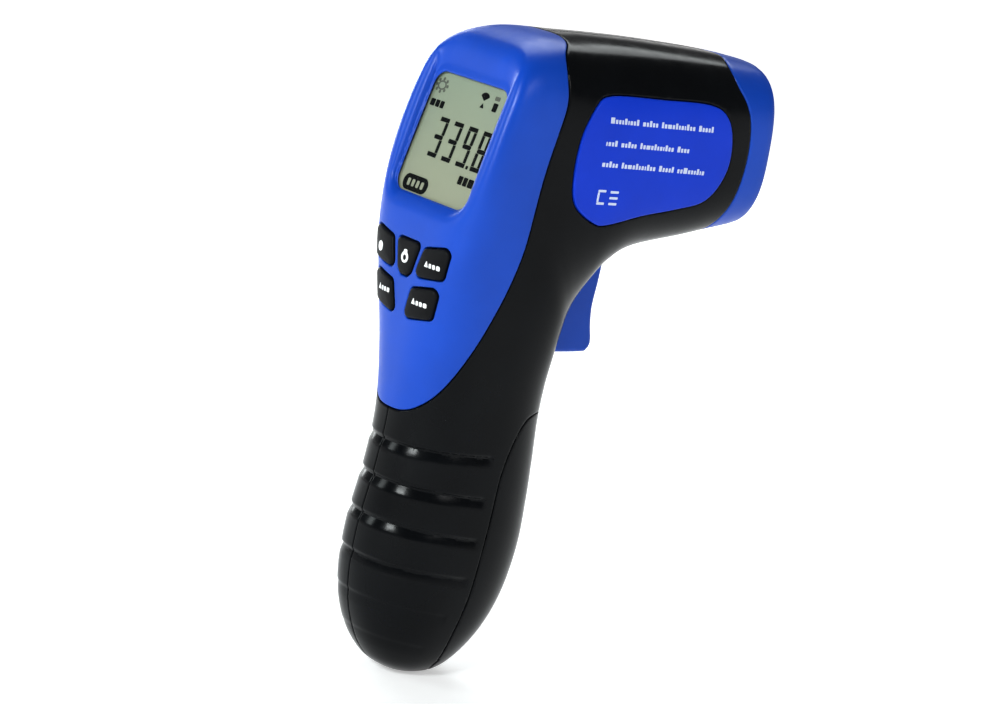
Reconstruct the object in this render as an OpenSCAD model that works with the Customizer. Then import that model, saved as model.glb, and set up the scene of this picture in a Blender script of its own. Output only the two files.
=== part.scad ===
// Pistol-grip laser tachometer. Frame: the optical axis runs along +Y out of the nose,
// +X is the right-hand side, +Z is up. The origin is the centre of the front opening.

/* [Body] */
// half-width of the body at the display
body_hw = 26.5; // [24:0.5:29]
// half-width of the grip
grip_hw = 19.5; // [17:0.5:22]
// half-width of the nose
nose_hw = 24.2; // [22:0.2:27]
// wall thickness of the shells
wall = 2.2; // [1.6:0.1:3]
// seam gap between visible shell pieces
seam = 0.2; // [0.1:0.05:0.4]
// depth of the grip grooves
groove_d = 0.9; // [0.4:0.1:1.4]
// height of each grip groove
groove_h = 2.4; // [1.6:0.2:3.2]

/* [Nose] */
// inner radius of the front opening
port_r = 14; // [10:0.5:16]
// clear depth of the front opening
port_l = 8; // [5:1:12]
// outer radius of the lens barrel
barrel_r = 17; // [15:0.5:19]
// radius of the receiver lens
lens_r = 8; // [6:0.5:9]
// radius of the laser module
laser_r = 3.3; // [2:0.1:4]

/* [Display] */
// width of the display opening
lcd_w = 37.4; // [30:0.2:40]
// height of the display opening
lcd_h = 38; // [30:0.5:42]
// lean of the display face from upright
face_lean = 15.5; // [8:0.5:22]

/* [Keys] */
// clearance round each key
key_gap = 0.4; // [0.3:0.05:0.6]
// height of the keys above the face
key_proud = 0.8; // [0.4:0.1:1.4]
// travel of each key
key_travel = 0.8; // [0.5:0.1:1.2]

/* [Trigger] */
// half-width of the trigger
trigger_hw = 6; // [4:0.5:8]
// radius of the trigger pivot pin
pivot_r = 1.5; // [1:0.1:2]

/* [Battery door] */
// radius of the door hinge pin
hinge_r = 0.9; // [0.8:0.1:1.2]
// radius of the door hinge knuckle
knuckle_r = 2.2; // [2:0.1:2.6]

/* [Hidden] */
blue = [0.10, 0.28, 0.78];
black = [0.07, 0.08, 0.09];
steel = [0.75, 0.76, 0.78];
green = [0.08, 0.35, 0.18];
// sides of each body ring and rings between two stations
ring_n = 32;
step_n = 3;
// pivots as (y, z)
trig_y = -52;
trig_z = -32;
hinge_y = -82.4;
hinge_z = -168.8;
// optical parts behind the front opening
lens_z = 3.5;
laser_z = -9.6;
laser_hole_r = 2.2;
barrel_l = 30;
tube_l = 28;
// display stack, levels taken along the face normal
face_y = -107.15;
face_z = -16.93;
lcd_v = 10;
panel_n = 0.6;
lcd_corner = 4.5;
glass_t = 0.8;
lcd_t = 1.9;
frame_t = 3.2;
board_t = 1.6;
lcd_n = -glass_t - 0.15 - lcd_t;
frame_n = lcd_n - 0.2 - frame_t;
board_n = frame_n - 0.4 - board_t;
board_v = 7;
board_w = 40;
board_h = 46;
buzzer_r = 6;
buzzer_h = 7.4;
// keys
key_corner = 1.8;
key_back = 107;
key_pos = [[-12.2, -42.6], [0, -42.8], [12.2, -42.6], [-9.4, -55], [9.4, -55]];
// screws and their posts
post_r = 2.8;
screw_r = 1;
head_r = 1.9;
head_t = 1.6;
head_x = 12;
// hinge and pivot details
ear_x = 4.1;
ear_w = 2.4;
ear_gap = 0.35;
disc_r = 4.4;
trigger_boss_r = 3.4;
trigger_pin_l = 30;
slot_at = [0, -54.5, -52];
slot_size = [2 * trigger_hw + 1, 26.2, 41];
// battery block, its corner and its snap
battery_size = [26.5, 17.5, 46.2];
battery_at = [-13.25, -96.6, -157];
snap_t = 3.4;

// Each station: outer point (y, z), inner point (y, z), half-width, outer and inner
// section exponents, running from the nose over the bend to the foot of the grip.
stations = [
  [0, 24.2, 0, -25.8, nose_hw - 1.2, 3, 2.8],
  [-1.2, 25.4, -1.2, -27, nose_hw, 3, 2.8],
  [-10, 26.4, -10, -29, nose_hw + 0.6, 3, 2.8],
  [-22, 27.2, -21, -31.5, nose_hw + 1.3, 3, 2.8],
  [-45, 28, -41, -36, body_hw - 0.5, 3, 2.8],
  [-70, 28, -50, -42, body_hw, 3, 2.7],
  [-87, 27, -55.5, -50, body_hw, 4, 2.6],
  [-99.5, 20.5, -58.5, -56, body_hw + 0.2, 6.2, 2.5],
  [-105, 8, -60, -61, body_hw + 0.3, 8.5, 2.4],
  [-109.5, -11, -61, -66, body_hw + 0.3, 8.5, 2.4],
  [-113, -31, -61, -73, body_hw - 1.5, 6, 2.4],
  [-113.8, -50, -60.5, -82, body_hw - 4, 3.8, 2.3],
  [-112.5, -70, -60, -92, body_hw - 6, 2.8, 2.3],
  [-111.5, -90, -59, -103, grip_hw, 2.4, 2.3],
  [-113, -108, -58.5, -117, grip_hw, 2.3, 2.3],
  [-116, -128, -59, -131, grip_hw + 0.5, 2.3, 2.3],
  [-115.8, -145, -62, -145, grip_hw, 2.3, 2.3],
  [-112, -158, -67, -156, grip_hw - 2, 2.3, 2.3],
  [-106, -167, -73, -165, grip_hw - 6, 2.2, 2.2],
  [-99, -171.5, -79.5, -171, grip_hw - 11, 2.2, 2.2],
  [-92, -173, -86, -173, grip_hw - 16.5, 2.2, 2.2]
];
last = len(stations) - 1;

// Side outlines as (y, z) points, smoothed into curves.
cover_line = [[-74, 33], [-78, 27.5], [-83, 23.5], [-84, 18], [-83.8, 10], [-86, 0],
  [-88.3, -11], [-90, -24], [-91.5, -37], [-94.2, -50], [-98, -63], [-103.5, -77],
  [-108, -85], [-113, -90], [-122, -92]];
nose_line = [[-9, 34], [-9.5, 30], [-11, 27.2], [-13, 26.2], [-15.2, 25.4], [-16.2, 23.8],
  [-16.1, 21.4], [-15.2, 18.6], [-13.4, 15.9], [-12.2, 13.8], [-10.7, 10.2], [-9.7, 4.8],
  [-9.3, -2], [-10, -10.9], [-10.9, -17.5], [-12, -22], [-13.6, -28], [-15, -36]];
door_line = [[-50, -87.4], [-62, -87.1], [-69, -87.2], [-73, -89], [-76.4, -95],
  [-79.4, -106], [-80.6, -118], [-82.4, -132], [-84.1, -145], [-86.4, -157], [-86.8, -166.2]];
label_line = [[-66.6, 13.2], [-47, 13.3], [-28, 12.9], [-20.5, 9.3], [-17.4, 1], [-18, -8],
  [-23.6, -16.6], [-34.7, -19.9], [-48, -22.4], [-60.4, -25.4], [-66.5, -25.2],
  [-75, -20], [-77.4, -12], [-76.8, 0.3], [-72.4, 10]];
trigger_line = [[-43.4, -34], [-43.6, -46], [-44.4, -55], [-43.8, -61], [-42.7, -66.6],
  [-43.8, -69.2], [-46.4, -70], [-60, -70], [-63.6, -67.5], [-64.4, -56], [-60, -42],
  [-57.4, -33], [-55.6, -28.8], [-52, -27.2], [-47, -28.4]];
// Ribs of the fixed ears and of the door knuckle, taken from the hinge axis.
ear_rib = [[0, -0.7], [0, 1.9], [-16, 1.9], [-16, -6], [-5.4, -6], [-5.4, -0.7]];
knuckle_rib = [[0, -2], [0, 2.1], [8, 2.1], [8, -6], [3, -6]];
// Grip grooves: height at the back, drop towards the front in degrees, length.
groove_rows = [[-98.4, 3, 29], [-110, 6, 29], [-122, 8, 28.5], [-134.5, 8, 27],
  [-146.7, 9, 24], [-158, 10, 20]];
// Screw posts shared by both shells, as (y, z).
posts = [[-34, 18], [-72, 18], [-33, -24], [-66, -80], [-105, -100], [-103.5, -160]];

function spline(a, b, c, d, t) = 0.5 * ((2 * b) + (c - a) * t
  + (2 * a - 5 * b + 4 * c - d) * t * t + (3 * b - a - 3 * c + d) * t * t * t);
function station(i, t) = spline(stations[max(i - 1, 0)], stations[i],
  stations[min(i + 1, last)], stations[min(i + 2, last)], t);
function spw(v, e) = sign(v) * pow(abs(v), 2 / e);
function unit(v) = v / norm(v);
// One ring of the body, drawn in by t on every side.
function ring(s, t) = let (o = [s[0], s[1]], q = [s[2], s[3]], u = unit(o - q),
  m = (o + q) / 2, h = norm(o - q) / 2 - t)
  [for (j = [0:ring_n - 1]) let (a = 360 * (j + 0.5) / ring_n,
    e = sin(a) > 0 ? s[5] : s[6], p = m + u * h * spw(sin(a), e))
    [max(s[4] - t, 0.4) * spw(cos(a), e), p[0], p[1]]];
function rows(t) = concat([for (i = [0:last - 1], k = [0:step_n - 1])
  ring(station(i, k / step_n), t)], [ring(stations[last], t)]);
function curve(p, n, loop) = let (c = len(p)) [for (i = [0:(loop ? c - 1 : c - 2)],
  k = [0:n - 1]) spline(p[loop ? (i + c - 1) % c : max(i - 1, 0)], p[i],
  p[loop ? (i + 1) % c : min(i + 1, c - 1)],
  p[loop ? (i + 2) % c : min(i + 2, c - 1)], k / n)];

// The outer body, drawn in by t.
module body(t) {
  r = rows(t);
  n = len(r);
  polyhedron(points = [for (a = r, b = a) b], faces = concat(
    [[for (j = [0:ring_n - 1]) j]],
    [[for (j = [ring_n - 1:-1:0]) (n - 1) * ring_n + j]],
    [for (i = [0:n - 2], j = [0:ring_n - 1]) [i * ring_n + j,
      (i + 1) * ring_n + j, i * ring_n + (j + 1) % ring_n]],
    [for (i = [0:n - 2], j = [0:ring_n - 1]) [(i + 1) * ring_n + j,
      (i + 1) * ring_n + (j + 1) % ring_n, i * ring_n + (j + 1) % ring_n]]),
    convexity = 6);
}
// Extrudes a (y, z) outline across X.
module side(w) {
  rotate([90, 0, 90]) linear_extrude(w, center = true) children();
}
// Places children on the display face: x across, y up the face, z outward.
module on_face(v, n) {
  translate([0, face_y, face_z]) rotate([90 - face_lean, 0, 0]) translate([0, v, n])
    children();
}
// Rounded rectangle plate standing on z = 0.
module plate(w, h, r, t) {
  linear_extrude(t) polygon([for (q = [[1, 1, 0], [-1, 1, 90], [-1, -1, 180],
    [1, -1, 270]], a = [0:15:90]) [q[0] * (w / 2 - r) + r * cos(q[2] + a),
    q[1] * (h / 2 - r) + r * sin(q[2] + a)]]);
}
// A cylinder lying along Y, ending at its front at y = 0.
module tube_y(r, l) {
  rotate([90, 0, 0]) cylinder(r = r, h = l, $fn = 64);
}
// A cylinder lying along X, centred.
module bar_x(r, l, sides = 48) {
  rotate([0, 90, 0]) cylinder(r = r, h = l, center = true, $fn = sides);
}

module cover_area(g) {
  side(80) offset(delta = g)
    polygon(concat(curve(cover_line, 4, false), [[-140, -92], [-140, 60], [-74, 60]]));
}
module nose_area(g) {
  side(80) offset(delta = g)
    polygon(concat(curve(nose_line, 4, false), [[10, -36], [10, 34]]));
}
module door_area(g) {
  difference() {
    side(80) offset(delta = g)
      polygon(concat(curve(door_line, 4, false), [[hinge_y, hinge_z], [hinge_y, -190],
        [-30, -190], [-30, -88]]));
    if (g < 0) ears(ear_gap);
  }
  translate([0, hinge_y, hinge_z]) difference() {
    bar_x(disc_r + g, 60);
    bar_x(10, 2 * (ear_x + ear_w / 2 + 0.5 - g));
  }
}
// The two fixed ears that carry the door hinge pin, with their ribs.
module ears(g) {
  for (s = [-1, 1]) translate([s * ear_x, hinge_y, hinge_z]) {
    bar_x(knuckle_r + g, ear_w + 2 * g);
    side(ear_w + 2 * g) polygon(ear_rib);
  }
}
module label_area(g) {
  side(80) offset(delta = g) polygon(curve(label_line, 3, true));
}
module grooves() {
  difference() {
    for (g = groove_rows)
      translate([0, -113, g[0]]) rotate([-g[1], 0, 0]) translate([-30, -10, -groove_h / 2])
        cube([60, g[2] + 10, groove_h]);
    body(groove_d);
  }
}
module trigger_slot() {
  translate(slot_at) cube(slot_size, center = true);
}
// Key outlines in the x, z plane; the right-hand keys mirror the left-hand ones.
module key_shape(k) {
  if (k == 0) rounded() polygon([[-19.3, -36.3], [-8.2, -38.5], [-5.2, -47.7], [-17.2, -46.3]]);
  if (k == 1) rounded() polygon([[-5.9, -37.8], [5.9, -37.8], [3.4, -46.8], [1.6, -48.5],
    [-1.6, -48.5], [-3.4, -46.8]]);
  if (k == 2) mirror([1, 0]) key_shape(0);
  if (k == 3) rounded() polygon([[-16.3, -49.1], [-5, -51.2], [-2.3, -60.9], [-14, -59]]);
  if (k == 4) mirror([1, 0]) key_shape(3);
}
module rounded() {
  offset(r = key_corner, $fn = 24) offset(delta = -key_corner) children();
}
module key_hole(k) {
  rotate([90, 0, 0]) translate([0, 0, 90]) linear_extrude(40)
    offset(delta = key_gap) key_shape(k);
}
module key(k) {
  resize([0, 0, 0]) {
    intersection() {
      body(-key_proud);
      rotate([90, 0, 0]) translate([0, 0, key_back]) linear_extrude(20) key_shape(k);
    }
  }
}
// Bars of radius r and length l through every screw post.
module post_bars(r, l) {
  for (p = posts) translate([0, p[0], p[1]]) bar_x(r, l, 20);
}
// The hollow body layer with its inner bosses, before it is split.
module hull_layer() {
  difference() {
    union() {
      difference() {
        body(0);
        body(wall);
      }
      intersection() {
        body(0.6);
        union() {
          post_bars(post_r, 60);
          translate([0, trig_y, trig_z]) difference() {
            bar_x(trigger_boss_r, 60);
            bar_x(6, 2 * trigger_hw + 2);
          }
          ears(0);
        }
      }
    }
    nose_area(seam);
    cover_area(seam);
    difference() {
      union() {
        door_area(seam);
        translate([0, hinge_y, hinge_z]) bar_x(disc_r + 0.4, 60);
      }
      ears(0);
    }
    translate([0, hinge_y, hinge_z]) bar_x(hinge_r + 0.12, 2 * ear_x + ear_w + 0.2);
    translate([0, trig_y, trig_z]) bar_x(pivot_r + 0.12, trigger_pin_l + 0.4);
    post_bars(screw_r + 0.08, 2 * head_x);
    grooves();
    trigger_slot();
    difference() {
      label_area(0.25);
      body(1.2);
    }
  }
}
module right_shell() {
  color(black) resize([0, 0, 0]) {
    intersection() {
      hull_layer();
      translate([0.05, -200, -200]) cube([60, 260, 260]);
    }
  }
}
module left_shell() {
  color(black) resize([0, 0, 0]) {
    difference() {
      hull_layer();
      translate([-0.05, -200, -200]) cube([60, 260, 260]);
      for (p = posts) translate([head_t + 0.1 - head_x, p[0], p[1]]) rotate([0, -90, 0])
        cylinder(r = head_r + 0.2, h = 30, $fn = 24);
    }
  }
}
module display_cover() {
  color(blue) resize([0, 0, 0]) {
    difference() {
      union() {
        intersection() {
          cover_area(0);
          difference() {
            body(0);
            body(wall + 0.2);
          }
        }
        intersection() {
          body(0);
          on_face(lcd_v, 0.1) plate(46, 48, 6, 12);
        }
      }
      on_face(lcd_v + 1, panel_n) hull() {
        plate(lcd_w + 1.2, lcd_h + 2, lcd_corner + 0.5, 0.1);
        translate([0, 10, 6]) plate(lcd_w + 8.6, lcd_h + 34, 11, 0.1);
      }
      on_face(lcd_v, -5) plate(lcd_w, lcd_h, lcd_corner, 20);
      on_face(lcd_v, lcd_n + lcd_t) plate(lcd_w + 2.8, lcd_h + 2.8, 5, glass_t + 0.25);
      on_face(lcd_v, board_n) plate(lcd_w + 3.8, lcd_h + 3.6, 3, lcd_n + lcd_t + 0.1 - board_n);
      on_face(board_v, board_n - 0.2) plate(board_w + 0.6, board_h + 0.6, 1.5, board_t + 0.4);
      for (k = [0:4]) key_hole(k);
    }
  }
}
module nose_ring() {
  color(blue) resize([0, 0, 0]) {
    difference() {
      intersection() {
        body(0);
        nose_area(0);
      }
      translate([0, 1, 0]) tube_y(barrel_r + 0.15, 60);
    }
  }
}
module lens_barrel() {
  color(black) difference() {
    tube_y(barrel_r, barrel_l);
    translate([0, 1, 0]) tube_y(port_r, port_l + 1);
    translate([0, -port_l - 3, 0]) tube_y(port_r + 1, barrel_l);
    translate([0, -port_l + 1, lens_z]) tube_y(lens_r - 0.6, 10);
    translate([0, -port_l + 1, laser_z]) tube_y(laser_hole_r, 10);
  }
}
module receiver_lens() {
  color([0.75, 0.85, 0.9, 0.6]) translate([0, -port_l - 3.3, lens_z])
    rotate([90, 0, 0]) rotate_extrude($fn = 64)
      polygon([[0, -1.6], [lens_r * 0.4, -1.3], [lens_r - 0.8, 0], [lens_r, 0],
        [lens_r, 1.8], [0, 1.8]]);
}
module laser_module() {
  color([0.75, 0.6, 0.3]) translate([0, -port_l - 3.2, laser_z]) difference() {
    tube_y(laser_r, 22);
    translate([0, 1, 0]) tube_y(1.6, 4);
  }
}
module receiver_tube() {
  color(black) translate([0, -port_l - 5.3, lens_z]) rotate([90, 0, 0])
    rotate_extrude($fn = 64) polygon([[lens_r, 0], [lens_r + 1, 0], [5, tube_l],
      [4, tube_l]]);
}
module sensor_board() {
  color(green) translate([-17, -46, -18]) cube([34, board_t, 38]);
}
module photodiode() {
  color([0.2, 0.2, 0.22]) translate([-2.5, -44.2, 1]) cube([5, 2.6, 5]);
}
module label(g) {
  resize([0, 0, 0]) {
    intersection() {
      difference() {
        body(-0.4);
        body(1);
      }
      label_area(0);
      translate([g < 0 ? -60 : 0, -100, -60]) cube([60, 120, 100]);
    }
  }
}
module right_label() {
  color(blue) label(1);
}
module left_label() {
  color(blue) label(-1);
}
module battery_door() {
  color(black) {
    difference() {
      union() {
        resize([0, 0, 0]) {
          intersection() {
            door_area(-0.05);
            difference() {
              body(0);
              body(wall);
            }
          }
          intersection() {
            body(0.4);
            translate([0, hinge_y, hinge_z])
              side(2 * (ear_x - ear_w / 2) - 0.8) polygon(knuckle_rib);
          }
        }
        translate([0, hinge_y, hinge_z]) bar_x(knuckle_r, 2 * (ear_x - ear_w / 2) - 0.8);
      }
      translate([0, hinge_y, hinge_z]) bar_x(hinge_r + 0.06, 40);
    }
  }
}
module door_hinge_pin() {
  color(steel) translate([0, hinge_y, hinge_z]) bar_x(hinge_r, 2 * ear_x + ear_w);
}
module trigger() {
  color(blue) difference() {
    side(2 * trigger_hw) polygon(curve(trigger_line, 3, true));
    translate([0, trig_y, trig_z]) bar_x(pivot_r + 0.06, 40);
  }
}
module trigger_pin() {
  color(steel) translate([0, trig_y, trig_z]) bar_x(pivot_r, trigger_pin_l);
}
module trigger_switch() {
  color(black) translate([-5, -80, -66]) cube([10, 9, 13]);
}
module display_window() {
  color([0.8, 0.85, 0.85, 0.4]) on_face(lcd_v, -glass_t)
    plate(lcd_w + 2.4, lcd_h + 2.4, lcd_corner + 0.5, glass_t);
}
module lcd_panel() {
  color([0.62, 0.66, 0.56]) on_face(lcd_v, lcd_n) plate(lcd_w + 1.6, lcd_h + 1.6, 3, lcd_t);
}
module lcd_frame() {
  color([0.9, 0.9, 0.88]) on_face(lcd_v, frame_n)
    plate(lcd_w + 3.2, lcd_h + 3, 3, frame_t);
}
module main_board() {
  color(green) on_face(board_v, board_n) plate(board_w, board_h, 1, board_t);
}
module board_chips() {
  color(black) on_face(board_v, board_n - 1.8) {
    translate([-9, 4, 0]) cube([12, 12, 1.7]);
    translate([8, -10, 0]) cube([6, 5, 1.7]);
    translate([9, 8, 0]) cube([5, 4, 1.7]);
  }
}
module buzzer() {
  color(black) on_face(-8, board_n - 0.2 - buzzer_h) translate([-8, 0, 0])
    cylinder(r = buzzer_r, h = buzzer_h, $fn = 48);
}
module key_board() {
  color(green) translate([-16, -101.5, -64]) cube([32, board_t, 26]);
}
module key_switches() {
  color(steel) for (p = key_pos) translate([p[0] - 3, key_travel + 0.6 - key_back, p[1] - 3])
    cube([6, 4, 6]);
}
module key_light() {
  color(black) key(0);
}
module key_power() {
  color(black) key(1);
}
module key_auto() {
  color(black) key(2);
}
module key_record() {
  color(black) key(3);
}
module key_manual() {
  color(black) key(4);
}
module battery() {
  color([0.75, 0.6, 0.2]) translate(battery_at) {
    cube(battery_size);
    translate([6.8, battery_size[1] / 2, battery_size[2]]) cylinder(r = 2.8, h = 2.3, $fn = 32);
    translate([19.7, battery_size[1] / 2, battery_size[2]]) cylinder(r = 3.6, h = 2.3, $fn = 32);
  }
}
module battery_snap() {
  color(black) translate(battery_at + [0.75, 1, battery_size[2] + 2.5])
    cube([battery_size[0] - 1.5, battery_size[1] - 2, snap_t]);
}
module case_screws() {
  color(steel) for (p = posts) translate([-head_x, p[0], p[1]]) rotate([0, 90, 0])
    difference() {
      union() {
        cylinder(r = head_r, h = head_t, $fn = 32);
        cylinder(r = screw_r, h = head_x + 6, $fn = 24);
      }
      translate([0, 0, -1]) cylinder(r = 0.9, h = 1.9, $fn = 6);
    }
}
module board_screws() {
  color(steel) for (s = [-1, 1]) on_face(board_v + 3 - board_h / 2, board_n + board_t)
    translate([s * 17.5, 0, 0.05]) cylinder(r = 1.8, h = 1.2, $fn = 24);
}

right_shell();
left_shell();
display_cover();
nose_ring();
lens_barrel();
receiver_lens();
laser_module();
receiver_tube();
sensor_board();
photodiode();
right_label();
left_label();
battery_door();
door_hinge_pin();
trigger();
trigger_pin();
trigger_switch();
display_window();
lcd_panel();
lcd_frame();
main_board();
board_chips();
buzzer();
key_board();
key_switches();
key_light();
key_power();
key_auto();
key_record();
key_manual();
battery();
battery_snap();
case_screws();
board_screws();
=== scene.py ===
"""Visual model of a pistol-grip laser tachometer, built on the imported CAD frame.

Shapes are worked out in millimetres in the CAD's own axes and scaled to metres when
a mesh is made: +Y out of the nose, +X to the right-hand side, +Z up.
"""

import math

import bmesh
import bpy
import numpy as np
from mathutils import Matrix, Vector
from mathutils.bvhtree import BVHTree
from mathutils.geometry import tessellate_polygon


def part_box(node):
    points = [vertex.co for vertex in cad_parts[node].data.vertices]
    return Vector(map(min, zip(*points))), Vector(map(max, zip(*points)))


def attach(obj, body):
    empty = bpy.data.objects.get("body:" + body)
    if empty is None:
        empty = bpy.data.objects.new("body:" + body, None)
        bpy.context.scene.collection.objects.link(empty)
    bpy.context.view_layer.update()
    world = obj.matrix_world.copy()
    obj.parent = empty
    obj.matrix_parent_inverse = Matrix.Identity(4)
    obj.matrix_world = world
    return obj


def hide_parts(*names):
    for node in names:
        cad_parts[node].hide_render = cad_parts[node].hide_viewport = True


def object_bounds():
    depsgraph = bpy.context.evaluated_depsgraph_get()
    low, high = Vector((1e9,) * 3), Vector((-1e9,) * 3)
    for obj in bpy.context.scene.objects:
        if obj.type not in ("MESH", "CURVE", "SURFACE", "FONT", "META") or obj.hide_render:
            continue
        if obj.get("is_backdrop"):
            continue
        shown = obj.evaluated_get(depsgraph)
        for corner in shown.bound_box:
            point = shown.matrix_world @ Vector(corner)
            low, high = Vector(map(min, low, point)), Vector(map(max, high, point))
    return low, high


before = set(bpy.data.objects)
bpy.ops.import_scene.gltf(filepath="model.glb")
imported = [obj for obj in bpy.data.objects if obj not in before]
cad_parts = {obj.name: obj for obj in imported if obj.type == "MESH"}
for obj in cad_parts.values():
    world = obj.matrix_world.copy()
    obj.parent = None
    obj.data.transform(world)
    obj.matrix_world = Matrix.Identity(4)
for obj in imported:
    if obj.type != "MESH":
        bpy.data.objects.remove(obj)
cad_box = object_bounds()
MM = 0.001

# ---- camera and lights
CAMERA_AT = (0.6871, -0.6099, 0.1056)
CAMERA_AZIMUTH, CAMERA_ELEVATION, CAMERA_ROLL = (math.radians(a) for a in (52, 11.5, 9.7))
CAMERA_LENS = 104.4


def camera_matrix(at, azimuth, elevation, roll):
    right = Vector((math.cos(azimuth), math.sin(azimuth), 0))
    back = Vector((math.sin(azimuth) * math.cos(elevation),
                   -math.cos(azimuth) * math.cos(elevation), math.sin(elevation)))
    up = back.cross(right)
    x = right * math.cos(roll) + up * math.sin(roll)
    y = up * math.cos(roll) - right * math.sin(roll)
    m = Matrix((x, y, back)).transposed().to_4x4()
    m.translation = at
    return m


def area_light(name, at, target, size, power, colour=(1, 1, 1)):
    data = bpy.data.lights.new(name, "AREA")
    data.shape, data.size, data.size_y = "RECTANGLE", size[0], size[1]
    data.energy, data.color = power, colour
    light = bpy.data.objects.new(name, data)
    bpy.context.collection.objects.link(light)
    aim = (Vector(target) - Vector(at)).to_track_quat("-Z", "Y")
    light.matrix_world = Matrix.Translation(at) @ aim.to_matrix().to_4x4()


camera = bpy.data.objects.new("camera", bpy.data.cameras.new("camera"))
bpy.context.collection.objects.link(camera)
camera.matrix_world = camera_matrix(CAMERA_AT, CAMERA_AZIMUTH, CAMERA_ELEVATION, CAMERA_ROLL)
camera.data.lens, camera.data.sensor_width = CAMERA_LENS, 36
camera.data.clip_start, camera.data.clip_end = 0.05, 60
bpy.context.scene.camera = camera
bpy.context.scene.view_settings.view_transform = "Standard"
bpy.context.scene.view_settings.gamma = 0.85

MIDDLE = (0, -0.06, -0.06)
# The keys draw the streaks in the grip grooves, front_left and side_left the ridges beside
# the display, and top_back the edge along the top of the cover.
area_light("key_left", (0.47, -1.07, 0.51), MIDDLE, (0.36, 0.2), 10, (0.95, 1, 1))
area_light("key_right", (1.03, 0.18, 0.50), MIDDLE, (0.35, 0.25), 1.6)
area_light("front_left", (-0.56, -1.15, 0.39), MIDDLE, (0.3, 0.4), 3.5, (0.92, 1, 1))
area_light("top_back", (-0.52, 0.40, 0.86), MIDDLE, (0.8, 0.6), 6.5, (0.95, 1, 1))
area_light("side_left", (-1.20, 0.12, 0.16), MIDDLE, (0.8, 0.5), 9, (0.95, 1, 1))

# ---- dimensions, mm
NOSE_HW, BODY_HW, GRIP_HW = 24.2, 26.5, 19.5
WALL, SEAM, KEY_GAP = 2.2, 0.2, 0.4
PORT_R, PORT_L, BARREL_R, LENS_R = 14, 8, 17, 8
LENS_Z, LASER_Z, LASER_HOLE_R, BARREL_L = 3.5, -9.6, 2.2, 30
LCD_W, LCD_H, LCD_V, LCD_CORNER, PANEL_N, LCD_N = 37.4, 38, 10, 4.5, 0.6, -0.95
TRIGGER_HW, SLOT_GAP, SLOT_Y, SLOT_Z = 6, 0.5, (-67.6, -41.4), (-72.5, -31.5)
HINGE = (-82.4, -168.8)
KNUCKLE_R, DISC_R, EAR_X, EAR_W = 2.2, 4.4, 4.1, 2.4
POSTS = ((-34, 18), (-72, 18), (-33, -24), (-66, -80), (-105, -100), (-103.5, -160))
POST_R, SCREW_R, HEAD_R, HEAD_X, HEAD_T = 2.8, 1, 1.9, 12, 1.6
HEAD_GAP, THREAD_GAP, POST_START, POST_SHORT = 0.2, 0.08, 0.15, 0.9
LABEL_PROUD, LABEL_T, LABEL_GAP = 0.4, 1.2, 0.25
HALF_SEAM, RIM, COVER_RIM, KEY_RIM = 0.05, 0.45, 0.4, 0.7
KEY_EDGE, KEY_DOME, KEY_DOME_RUN, KEY_BACK_Y = 0.5, 0.35, 1.6, -107

# Stations along the body: outer point (y, z), inner point (y, z), half-width, outer and
# inner section exponents. The last one closes the foot.
STATIONS = np.array([
    (0, 24.2, 0, -25.8, NOSE_HW - 1.2, 3, 2.8), (-1.2, 25.4, -1.2, -27, NOSE_HW, 3, 2.8),
    (-10, 26.4, -10, -29, NOSE_HW + 0.6, 3, 2.8), (-22, 27.2, -21, -31.5, NOSE_HW + 1.3, 3, 2.8),
    (-45, 28, -41, -36, BODY_HW - 0.5, 3, 2.8), (-70, 28, -50, -42, BODY_HW, 3, 2.7),
    (-87, 27, -55.5, -50, BODY_HW, 4, 2.6),
    (-99.5, 20.5, -58.5, -56, BODY_HW + 0.2, 6.2, 2.5),
    (-105, 8, -60, -61, BODY_HW + 0.3, 8.5, 2.4), (-109.5, -11, -61, -66, BODY_HW + 0.3, 8.5, 2.4),
    (-113, -31, -61, -73, BODY_HW - 1.5, 6, 2.4),
    (-113.8, -50, -60.5, -82, BODY_HW - 4, 3.8, 2.3),
    (-112.5, -70, -60, -92, BODY_HW - 6, 2.8, 2.3), (-111.5, -90, -59, -103, GRIP_HW, 2.4, 2.3),
    (-113, -108, -58.5, -117, GRIP_HW, 2.3, 2.3), (-116, -128, -59, -131, GRIP_HW + 0.5, 2.3, 2.3),
    (-115.8, -145, -62, -145, GRIP_HW, 2.3, 2.3), (-112, -158, -67, -156, GRIP_HW - 2, 2.3, 2.3),
    (-106, -167, -73, -165, GRIP_HW - 6, 2.2, 2.2), (-99, -171.5, -79.5, -171, GRIP_HW - 11, 2.2, 2.2),
    (-92, -173, -86, -173, GRIP_HW - 16.5, 2.2, 2.2), (-89.2, -173.1, -88.8, -173.1, 0.4, 2.2, 2.2)])
LAST = len(STATIONS) - 1

COVER_LINE = [(-74, 33), (-78, 27.5), (-83, 23.5), (-84, 18), (-83.8, 10), (-86, 0),
              (-88.3, -11), (-90, -24), (-91.5, -37), (-94.2, -50), (-98, -63), (-103.5, -77),
              (-108, -85), (-113, -90), (-122, -92)]
NOSE_LINE = [(-9, 34), (-9.5, 30), (-11, 27.2), (-13, 26.2), (-15.2, 25.4), (-16.2, 23.8),
             (-16.1, 21.4), (-15.2, 18.6), (-13.4, 15.9), (-12.2, 13.8), (-10.7, 10.2), (-9.7, 4.8),
             (-9.3, -2), (-10, -10.9), (-10.9, -17.5), (-12, -22), (-13.6, -28), (-15, -36)]
DOOR_LINE = [(-50, -87.4), (-62, -87.1), (-69, -87.2), (-73, -89), (-76.4, -95),
             (-79.4, -106), (-80.6, -118), (-82.4, -132), (-84.1, -145), (-86.4, -157),
             (-86.8, -166.2)]
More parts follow.
